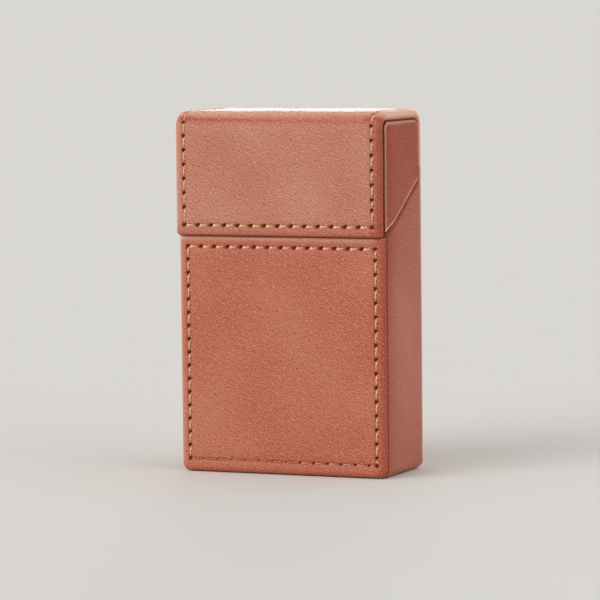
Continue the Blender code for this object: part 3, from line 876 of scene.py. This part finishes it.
# Lid strip
# The same strip goes on from the fold: up the back, over the top and down the front as the flap.
# Leather is drawn round bent board, with one row above the flap's edge and a column on each side.
lid_low, lid_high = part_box("lid_cover")
BEND = 0.0048                   # outer radius of the two bends, as the board is creased
FLAP_CORNER = 0.0009
FLAP_EDGE = Edge(0.0008, 0.0009, 0.0003, 0.0003)
CREASE_AT = 0.38                # the middle of the crease and its painted shade, as a share of a bend from its flat
CREASE_WIDE = 0.19
CREST_AT = 0.80                 # and the painted highlight's on the crest
CREST_WIDE = 0.27
CREST_HIGHLIGHT = 0.55
# Painted highlight on the strip's left edge and behind on its right; painted shade in front on the right
# and along the flap's lower edge
LEFT_HIGHLIGHT = 0.55
RIGHT_SHADE = -0.9              # in front
RIGHT_HIGHLIGHT = 1.0              # and behind
FLAP_SHADE = -0.55
LID_HOLES = 19                  # up each column
LEFT_FIRST = 0.0048             # the columns' first stitches are longer
RIGHT_FIRST = 0.0045
RIGHT_SECOND = 0.00725          # where the right one's second, a short one, ends
strip_thick = back_high.y - back_low.y
quarter = BEND * math.pi / 2
top_run = lid_high.y - lid_low.y - 2 * BEND
bend_start = lid_high.z - BEND                      # s is the height up to the first bend
second_start = bend_start + quarter + top_run
back_start = second_start + quarter
fold_z = 2 * hinge[2] - back_high.z
fold_s = back_start + bend_start - fold_z


def on_strip(x, s, depth):
    """The flat goes up the front, round a quarter circle, along the top, round another and down."""
    first = np.clip((s - bend_start) / BEND, 0, np.pi / 2)
    second = np.clip((s - second_start) / BEND, 0, np.pi / 2)
    along = np.clip(s - bend_start - quarter, 0, top_run)
    down = np.maximum(s - back_start, 0)
    y = lid_low.y + BEND * (1 - np.cos(first)) + along + BEND * np.sin(second)
    z = np.minimum(s, bend_start) + BEND * np.sin(first) - BEND * (1 - np.cos(second)) - down
    turn = first + second
    return together(x, y + depth * np.cos(turn), z - depth * np.sin(turn))


def bend_gap(s, share):
    """How far s is from the nearer bend's place at a share of its arc in from front or back."""
    place = share * quarter
    return np.minimum(np.abs(s - bend_start - place), np.abs(s - back_start + place))


def creased(s):
    """1 where the strip is stretched over a bend and painted with shade there, falling to 0 on the flats.
    """
    return bell(bend_gap(s, CREASE_AT), CREASE_WIDE * quarter)


def crest_highlight(s):
    """How strong the painted highlight on the crest of each bend is, falling to 0 on the flats."""
    return CREST_HIGHLIGHT * bell(bend_gap(s, CREST_AT), CREST_WIDE * quarter, 4)


def past_bend(s):
    """0 down the front, rising to 1 at the end of the first bend and on to the back."""
    return np.clip((s - bend_start) / quarter, 0, 1)


def strip_tints(s):
    """Left edge: painted highlight. Right edge: painted shade in front, painted highlight behind."""
    right = RIGHT_SHADE + (RIGHT_HIGHLIGHT - RIGHT_SHADE) * past_bend(s)
    return LEFT_HIGHLIGHT, right, FLAP_SHADE, 0.0


def sheen_share(s):
    """The painted sheen's share: 1 down the front and over the top, easing to 0 down the back."""
    return 1 - smooth(np.clip((s - second_start) / (fold_s - second_start), 0, 1))


lid_row = lid_low.z + ROW_MARGIN
lid_foot = np.linspace(-COLUMN, COLUMN, ROW_HOLES)
last_hole = back_start + bend_start - hinge[2] - FOLD_PITCH
lid_left = np.append(lid_row, np.linspace(lid_row + LEFT_FIRST, last_hole, LID_HOLES - 1))
lid_right = np.append([lid_row, lid_row + RIGHT_FIRST],
                      np.linspace(lid_row + RIGHT_SECOND, last_hole, LID_HOLES - 2))
lid_runs = [
    (lid_foot, lid_row, ROW),
    (-COLUMN, lid_left[::-1], COLUMN_RUN),
    (COLUMN, lid_right[::-1], COLUMN_RUN),
]
lid_leather = drawn_leather(
    "lid_leather",
    Cut(HALF, (lid_low.z, fold_s), (FLAP_CORNER, TIGHT_CORNER),
        (lid_foot, np.append(lid_left, fold_s), np.append(lid_right, fold_s)),
        (SIDE_EDGE, FLAP_EDGE, SIDE_EDGE)),
    strip_thick, lid_runs, (COLUMN, lid_row, None), on_strip,
    strip_tints, "lid", creased, crest_highlight, lambda s: 1 - past_bend(s), sheen_share)
wear(lid_leather, body_leather, "leather_tan", "lid_cover")
stitched("lid_stitches", lid_runs, on_strip, "lid", "lid_thread")


# Hinge fold
# Between the boards of the back and of the lid the strip is bare leather, turned in at both sides.
# It is padded to their thickness, and the flock lining runs across inside. It has two stitches on
# each side.
FOLD_EDGE = Edge(0.0018, 0.0012, 0.0004, 0.0003)
FOLD_SINK = 0.00028             # it sinks in this far halfway between the boards
FOLD_ROWS = 19
FOLD_PLACES = 49
FOLD_LINING = 0.0003
# Painted highlight along the fold's left and right edges
FOLD_TINTS = (0.55, 0.7)
# Painted shade where the fold sinks in between the boards
FOLD_CREASE_SHADE = 0.3
CLOTH_PLACES = 41
fold_low = back_high.z
fold_inside = strip_thick - FOLD_LINING
fold_insets, fold_depths = edge_section(FOLD_EDGE, fold_inside)
fold_middle = np.linspace(-HALF + BAND + FIELD_STEP, HALF - BAND - FIELD_STEP, FOLD_PLACES)
fold_x = np.concatenate([-HALF + fold_insets, fold_middle, (HALF - fold_insets)[::-1],
                         [HALF - SKIN, -HALF + SKIN]])
fold_deep = np.concatenate([fold_depths, 0 * fold_middle, fold_depths[::-1], [fold_inside] * 2])
fold_rise = np.linspace(fold_low, fold_z, FOLD_ROWS)[:, None]
fold_gap = np.abs(np.abs(fold_x) - COLUMN)
fold_face = (np.arange(len(fold_x)) < len(fold_x) - 2) * np.clip(
    (HALF - np.abs(fold_x)) / FOLD_EDGE.across, 0, 1)
fold_groove = bell(fold_gap, GROOVE_WIDE) * fold_face
fold_dent = bell(fold_gap, DENT_WIDE) * fold_face
fold_holes = hole_table([(COLUMN * np.array([-1, 1]), hinge[2], COLUMN_RUN)])
fold_pits = pit_share(fold_x, fold_rise, fold_holes) * fold_face
fold_swell = np.sin(np.pi * (fold_rise - fold_low) / (fold_z - fold_low)) ** 2
fold_points = on_back(
    fold_x, fold_rise, fold_deep + GROOVE_DEEP * fold_groove + DENT_DEEP * fold_dent
    + PIT_DEEP * fold_pits + FOLD_SINK * fold_swell * fold_face)


def ring_faces(rows, around):
    """Faces of rows of closed rings, with one flat face over each end."""
    numbers = np.arange(rows * around).reshape(rows, around)
    faces = quads(np.hstack([numbers, numbers[:, :1]]))
    return faces + [numbers[0].tolist(), numbers[-1, ::-1].tolist()]


hinge_fold = new_piece(
    "hinge_fold", fold_points, ring_faces(FOLD_ROWS, len(fold_x)),
    hide=together(fold_x + np.sign(fold_x) * fold_deep, fold_rise, 0.0),
    tint=tinted((HALF + fold_x, HALF - fold_x), fold_deep, FOLD_TINTS), seam=fold_groove,
    pit=fold_pits, turned=np.clip(fold_deep / WALL_DARK, 0, 1), crease=FOLD_CREASE_SHADE * fold_swell)
wear(hinge_fold, back_skin, "leather_tan", "hinge_leather")
cloth_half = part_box("back_lining")[1].x
cloth_x = np.linspace(-cloth_half, cloth_half, CLOTH_PLACES)
cloth_x = np.append(cloth_x, cloth_x[::-1])
cloth_deep = np.repeat([fold_inside, strip_thick], CLOTH_PLACES)
hinge_cloth = new_piece(
    "hinge_cloth", on_back(cloth_x, fold_rise, cloth_deep), ring_faces(FOLD_ROWS, len(cloth_x)))
wear(hinge_cloth, cloth, "lining_dark")
fold_side = hinge[2] + FOLD_PITCH * np.arange(1, -2, -1)
fold_runs = [(-COLUMN, fold_side, COLUMN_RUN), (COLUMN, fold_side, COLUMN_RUN)]
hinge_stitches = stitched("hinge_stitches", fold_runs, on_back, None)
for bending in (hinge_fold, hinge_cloth, hinge_stitches):
    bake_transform(bending)


# Sides
# Each side of the body is leather on a thin board, turned over at the slanted upper edge and round
# the foot. It butts against the panels in a fine seam, so both of its upright edges are eased.
SIDE_WIDTH = 0.0017             # the leather's turned walls reach this far in
SIDE_CLOSE = 0.00020            # drawn up this close to the panels
SIDE_SEAM = 0.00015             # rounding where a side meets its neighbours
LIP_ROUND = 0.00045             # rounding of the turned slanted edge
FOOT_ROUND = 0.0020
SIDE_STEPS = 70
ALONG_STEPS = 44
EASE_PLACES, TURN_PLACES = 7, 9     # places round a seam's edge and round a turned one
EAR_RISE = 0.0007               # the ear's tip above the flap's edge
KNEE_SHARES = (0.28, 0.19)      # the knee of the slope, from the tip to the hinge
KNEE_SOFT = 0.00008
# Painted highlights along the edges, painted shade near the front and below the upper edge
LIP_GLINT = 0.00070
FRONT_SHADE_REACH = 0.0042
HEAD_SHADE = 0.40                # painted shade below the upper edge, where the part above shades it
HEAD_SHADE_REACH = 0.016
SIDE_SEAM_BROWN = tone(182, 102, 76)
SEAM_START = 0.00012
SEAM_REACH = 0.0002
NOSE_DIP = 0.0009               # the sides' front corners are cut down under the ears' tips
NOSE_RUN = 0.0040
NOSE_POWER = 1.5
# The sides' leather tones, made paler and pinker by a broad sheen painted into the colour
SIDE_SHEEN_ROSE = tone(190, 116, 98)
SIDE_SHEEN_WARM = tone(172, 96, 72)
SIDE_GRAIN = {"grain": 0.5, "period": 0.0009, "lean": -20.0}    # fainter wrinkles, further apart
SIDE_GLINTS = (0.0, -0.9, 0.0)  # at foot, head and front: painted highlight above 0, painted shade below
SIDE_FRONT_SHADE = 0.5
GLINT_SHOWS = 0.1               # from here a painted highlight takes no painted shade as well
strip_inner_y = lid_low.y + strip_thick


def slope(y):
    """The ears' slanted edge: two straight runs joined by a hyperbola at the knee."""
    tip_z = lid_low.z + EAR_RISE
    knee_y = strip_inner_y + (hinge[1] - strip_inner_y) * KNEE_SHARES[0]
    knee_z = tip_z + (hinge[2] - tip_z) * KNEE_SHARES[1]
    first = knee_z + (y - knee_y) * (knee_z - tip_z) / (knee_y - strip_inner_y)
    second = knee_z + (y - knee_y) * (hinge[2] - knee_z) / (hinge[1] - knee_y)
    return (first + second) / 2 + np.hypot((first - second) / 2, KNEE_SOFT)


def eased_run(low, high, radius, steps):
    """Places from low to high and how far the face drops back: a quarter circle at each end."""
    angle = np.linspace(0, np.pi / 2, EASE_PLACES)
    start, drop = radius * (1 - np.cos(angle)), radius * (1 - np.sin(angle))
    middle = np.linspace(low + radius, high - radius, steps)[1:-1]
    places = np.concatenate([low + start, middle, (high - start)[::-1]])
    return places, np.concatenate([drop, 0 * middle, drop[::-1]])


def side_section(foot_across, foot_up, head_round):
    """A side leather's closed section as depths, shares of the height and offsets from it.

    Round the foot by a quarter ellipse, up the face, over the head by a quarter circle, down the
    lip, and back inside the skin.
    """
    angle = np.linspace(0, np.pi / 2, TURN_PLACES)
    face = np.linspace(0, 1, SIDE_STEPS)
    skin = np.array([SKIN, SKIN])
    parts = [
        (foot_across * (1 - np.sin(angle)), 0 * angle, foot_up * (1 - np.cos(angle))),
        (0 * face, face, foot_up * (1 - face) - head_round * face),
        (head_round * (1 - np.cos(angle)), 1 + 0 * angle, -head_round * (1 - np.sin(angle))),
        (np.array([SIDE_WIDTH, SIDE_WIDTH, *skin, SIDE_WIDTH]), np.array([1, 1, 1, 0, 0]),
         np.array([0, -SKIN, -SKIN, *skin])),
    ]
    return [np.concatenate(column) for column in zip(*parts)]


def side_piece(name, body, side, out, places, drop, foot, head, section, glints=(0, 0, 0), front_shade=0):
    """A leather side: its section carried from front to back between a foot and a head line."""
    depths, shares, offsets = section
    z = foot[:, None] + shares * (head - foot)[:, None] + offsets
    across = np.maximum(depths, drop[:, None])
    y = places[:, None]
    points = together(side * (out - across), y, z)
    gaps = (z - foot[:, None], head[:, None] - z, y - places[0])
    # Painted highlights along the edges, painted shade near the front and below the upper edge
    tint = sum(glint * bell(gap, LIP_GLINT) for gap, glint in zip(gaps, glints))
    darkened = front_shade * bell(gaps[2], FRONT_SHADE_REACH) + HEAD_SHADE * bell(gaps[1], HEAD_SHADE_REACH)
    tint = tint - (tint < GLINT_SHOWS) * darkened
    return new_piece(name, points, ring_faces(*z.shape), body, hide=together(y, z, across),
                     tint=tint, turned=np.clip(across / SIDE_WIDTH, 0, 1),
                     wall=np.clip((across - SEAM_START) / SEAM_REACH, 0, 1))


side_skin = new_material("side_leather", grained_leather(
    SIDE_SHEEN_ROSE, SIDE_SHEEN_WARM, wall_tone=SIDE_SEAM_BROWN, shine=0.15, **SIDE_GRAIN))
for side, name in ((-1, "left"), (1, "right")):
    low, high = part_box(f"{name}_cover")
    places, drop = eased_run(low.y - SIDE_CLOSE, high.y + SIDE_CLOSE, SIDE_SEAM, ALONG_STEPS)
    gap = slope(np.array([high.y]))[0] - high.z
    dip = NOSE_DIP * np.clip(1 - (places - low.y) / NOSE_RUN, 0, 1) ** NOSE_POWER
    made = side_piece(
        f"{name}_leather", "case", side, HALF, places, drop, low.z + 0 * places,
        slope(places) - gap - dip, side_section(SIDE_WIDTH, FOOT_ROUND, LIP_ROUND),
        SIDE_GLINTS, SIDE_FRONT_SHADE)
    wear(made, side_skin, "leather_side", f"{name}_cover")


# Ears
# The lid's two ears hang inside the strip's ends, as leather on thin board. The leather is turned
# under at the slanted edge, and lapped onto the strip at the floor of a narrow gap all round.
EAR_CORNER = 0.0020
EAR_SEAM = 0.00022              # rounding of its upright edges
EAR_ROSE = tone(172, 90, 64)
EAR_WARM = tone(154, 68, 42)
# The ears' dyed walls, darkened further as painted shade in the gaps round them
EAR_DYE_AND_GAP_SHADE = tone(120, 26, 2)
EAR_BACKSET = 0.00120           # the gap to the flap is wider than the other seams
EAR_INSET = 0.00015             # its face lies behind the strip's ends
EAR_SHORT = 0.00015             # and its top below the strip
# Painted highlights on the slanted edge, the top and the front edge, and painted shade near the front
EAR_GLINTS = (1.0, 0.5, 0.35)
EAR_FRONT_SHADE = 0.8
LAP_SUNK = 0.00083              # the lap's face behind the strip's ends
LAP_THICK = 0.00030
ear_skin = new_material("ear_leather", grained_leather(
    EAR_ROSE, EAR_WARM, wall_tone=EAR_DYE_AND_GAP_SHADE, shine=0.12, **SIDE_GRAIN))
lap_depths = LAP_SUNK + np.array([0, 0, LAP_THICK, LAP_THICK])
lap_section = lap_depths, np.array([0, 1, 1, 0]), np.zeros(4)


def corner_drops(places, front, back, radius):
    """How far the top falls away round two quarter circles at the front and back ends."""
    end = np.clip(np.minimum(places - front, back - places), 0, radius)
    return radius - np.sqrt(radius ** 2 - (radius - end) ** 2)


for side, name in ((-1, "left"), (1, "right")):
    low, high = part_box(f"ear_cover_{name}")
    front = low.y + EAR_BACKSET
    places, drop = eased_run(front, high.y, EAR_SEAM, ALONG_STEPS)
    corner_drop = corner_drops(places, front, high.y, EAR_CORNER)
    made = side_piece(
        f"ear_leather_{name}", "lid", side, HALF - EAR_INSET, places, drop, slope(places),
        high.z - EAR_SHORT - corner_drop, side_section(LIP_ROUND, LIP_ROUND, LIP_ROUND),
        EAR_GLINTS, EAR_FRONT_SHADE)
    wear(made, ear_skin, "leather_side", f"ear_cover_{name}")
    # The lap takes that dark wall tone all over: painted shade at the floor of the gap
    places, drop = eased_run(strip_inner_y, -strip_inner_y, BEND - strip_thick, ALONG_STEPS)
    top = lid_high.z - strip_thick - corner_drops(places, places[0], places[-1], BEND - strip_thick)
    lap = side_piece(f"ear_lap_{name}", "lid", side, HALF, places, 0 * drop,
                     slope(places) + LIP_ROUND, top, lap_section)
    wear(lap, ear_skin, "leather_side")


# Base
# The case stands on one plain piece of leather glued under its base board, between the turned
# feet of the walls. Its lower edges are eased by a small quarter circle.
base_low, base_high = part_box("base_cover")
BASE_EASE = 0.0005
BASE_STEPS = (60, 30)           # across and from front to back
base_across, base_ease = eased_run(base_low.x, base_high.x, BASE_EASE, BASE_STEPS[0])
base_places, base_drop = eased_run(base_low.y, base_high.y, BASE_EASE, BASE_STEPS[1])
base_z = base_low.z + np.minimum(np.hypot(base_drop[:, None], base_ease), BASE_EASE)
base_lower = together(base_across, base_places[:, None], base_z)
base_upper = base_lower * (1, 1, 0) + (0, 0, base_high.z)
lower = np.arange(base_z.size).reshape(base_z.shape)
border = np.concatenate([lower[0, :-1], lower[:-1, -1], lower[-1, :0:-1], lower[:0:-1, 0]])
upper_border = lower.size + np.arange(len(border))
walls = np.stack([border, np.roll(border, -1), np.roll(upper_border, -1), upper_border], -1)
base_points = np.vstack([base_lower.reshape(-1, 3), base_upper.reshape(-1, 3)[border]])
base_leather = new_piece(
    "base_leather", base_points, quads(lower) + walls.tolist() + [upper_border.tolist()], "case",
    hide=base_points)
wear(base_leather, side_skin, "leather_side", "base_cover")


# Studio
# A plain pale floor under even soft light: one broad lamp from the front left and above, a weaker
# one from the right, and a low one behind that skims the top.
FLOOR_PALE = tone(226, 224, 220)
FLOOR_MOTTLE = tone(214, 212, 208)
BACKDROP_PALE = tone(217, 215, 210)
GLOW_PALE = tone(255, 254, 252)
GLOW_STRENGTH = 0.6
FLOOR_SIZE = 60
FLOOR_DROP = 0.00003            # just under the foot, so that the two faces never coincide
bpy.ops.mesh.primitive_plane_add(size=FLOOR_SIZE, location=(0, 0, -FLOOR_DROP))
floor = bpy.context.object
floor.name = "floor"


def matt_floor(place):
    """Pale matt paper with a barely seen mottle."""
    return {
        "Base Color": (place.noise(0.05, 2.0) * 0.2).between(FLOOR_PALE, FLOOR_MOTTLE),
        "Roughness": 1.0,
        "Specular IOR Level": 0.0,
    }


floor.data.materials.append(new_material("matt_floor", matt_floor))


def lamp(name, azimuth, elevation, strength, spread):
    """A sun lamp: light from an azimuth and an elevation, softened over a spread, in degrees."""
    light = bpy.data.lights.new(name, "SUN")
    light.energy = strength
    light.angle = math.radians(spread)
    item = bpy.data.objects.new(name, light)
    item.rotation_euler = (math.radians(90 - elevation), 0, math.radians(azimuth))
    bpy.context.scene.collection.objects.link(item)


lamp("key", azimuth=-30, elevation=26, strength=1.5, spread=48)
lamp("fill", azimuth=80, elevation=22, strength=0.6, spread=60)
lamp("back", azimuth=200, elevation=10, strength=0.8, spread=22)

world = bpy.data.worlds.new("studio")
bpy.context.scene.world = world
world.use_nodes = True
world.node_tree.nodes.clear()
air = Wire(world.node_tree)
glow = air.node("Background", sockets={"Color": GLOW_PALE, "Strength": GLOW_STRENGTH})
backdrop = air.node("Background", sockets={"Color": BACKDROP_PALE, "Strength": 1.0})
seen = air.node("LightPath", output="Is Camera Ray") + air.node("LightPath", output="Is Glossy Ray")
seen = seen.math("MINIMUM", seen + air.node("LightPath", output="Is Transmission Ray"), 1.0)
air.node("OutputWorld", sockets={"Surface": air.node("MixShader", sockets={0: seen, 1: glow, 2: backdrop})})

# The camera stands a metre off, a little above the case and to its right, and leans a touch.
CAMERA_AZIMUTH = 23.46
CAMERA_ELEVATION = 4.6
CAMERA_ROLL = -0.616
CAMERA_DISTANCE = 1.0
CAMERA_LENS = 221.0
CAMERA_CLIP = (0.01, 100)
AIM_HEIGHT = 0.04633
azimuth, elevation = math.radians(CAMERA_AZIMUTH), math.radians(CAMERA_ELEVATION)
camera = bpy.data.objects.new("camera", bpy.data.cameras.new("camera"))
bpy.context.scene.collection.objects.link(camera)
camera.data.lens = CAMERA_LENS
camera.data.clip_start, camera.data.clip_end = CAMERA_CLIP
camera.location = (CAMERA_DISTANCE * math.sin(azimuth) * math.cos(elevation),
                   -CAMERA_DISTANCE * math.cos(azimuth) * math.cos(elevation),
                   AIM_HEIGHT + CAMERA_DISTANCE * math.sin(elevation))
turned = Matrix.Rotation(azimuth, 3, "Z") @ Matrix.Rotation(math.pi / 2 - elevation, 3, "X")
rolled = turned @ Matrix.Rotation(math.radians(CAMERA_ROLL), 3, "Z")
camera.rotation_euler = rolled.to_euler()
bpy.context.scene.camera = camera
bpy.context.scene.view_settings.view_transform = "Standard"
